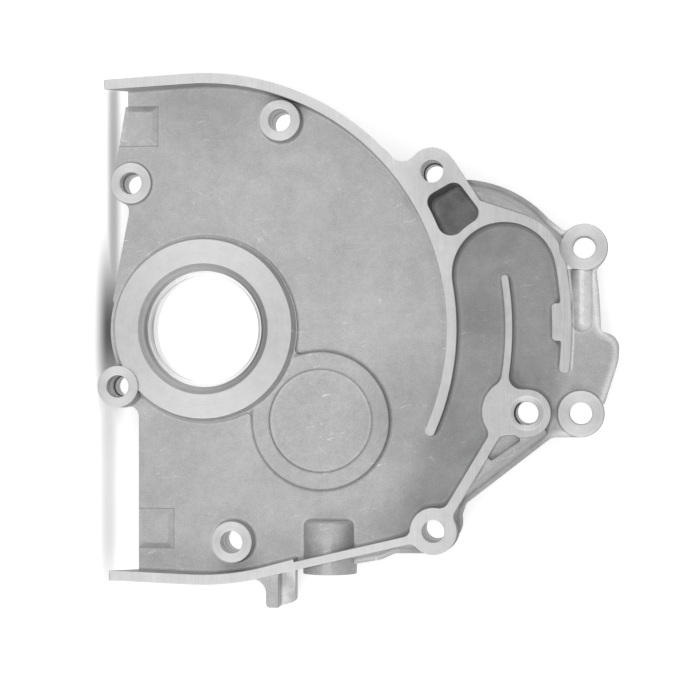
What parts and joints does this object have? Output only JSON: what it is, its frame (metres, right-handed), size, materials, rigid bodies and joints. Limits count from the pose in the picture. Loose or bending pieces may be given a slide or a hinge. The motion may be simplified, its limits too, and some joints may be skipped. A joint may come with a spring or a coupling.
{
  "type": "transmission cover",
  "caption": "Die-cast aluminium side cover with an open round chamber, a shaft-seal bore in a raised boss, and a walled breather labyrinth beside it.",
  "frame": {"origin": "on the axis of the shaft bore, in the plane of the bolt seats", "axes": "+Z along the bore axis towards the inside of the cover and its gasket face, +X from the bore towards the labyrinth, +Y towards the upper wall, which is upward in the picture"},
  "size_m": [0.1582, 0.162, 0.02],
  "materials": {
    "casting": "as cast, with machined joint faces"
  },
  "bodies": {
    "root": {"cover_casting": "casting"}
  },
  "joints": []
}
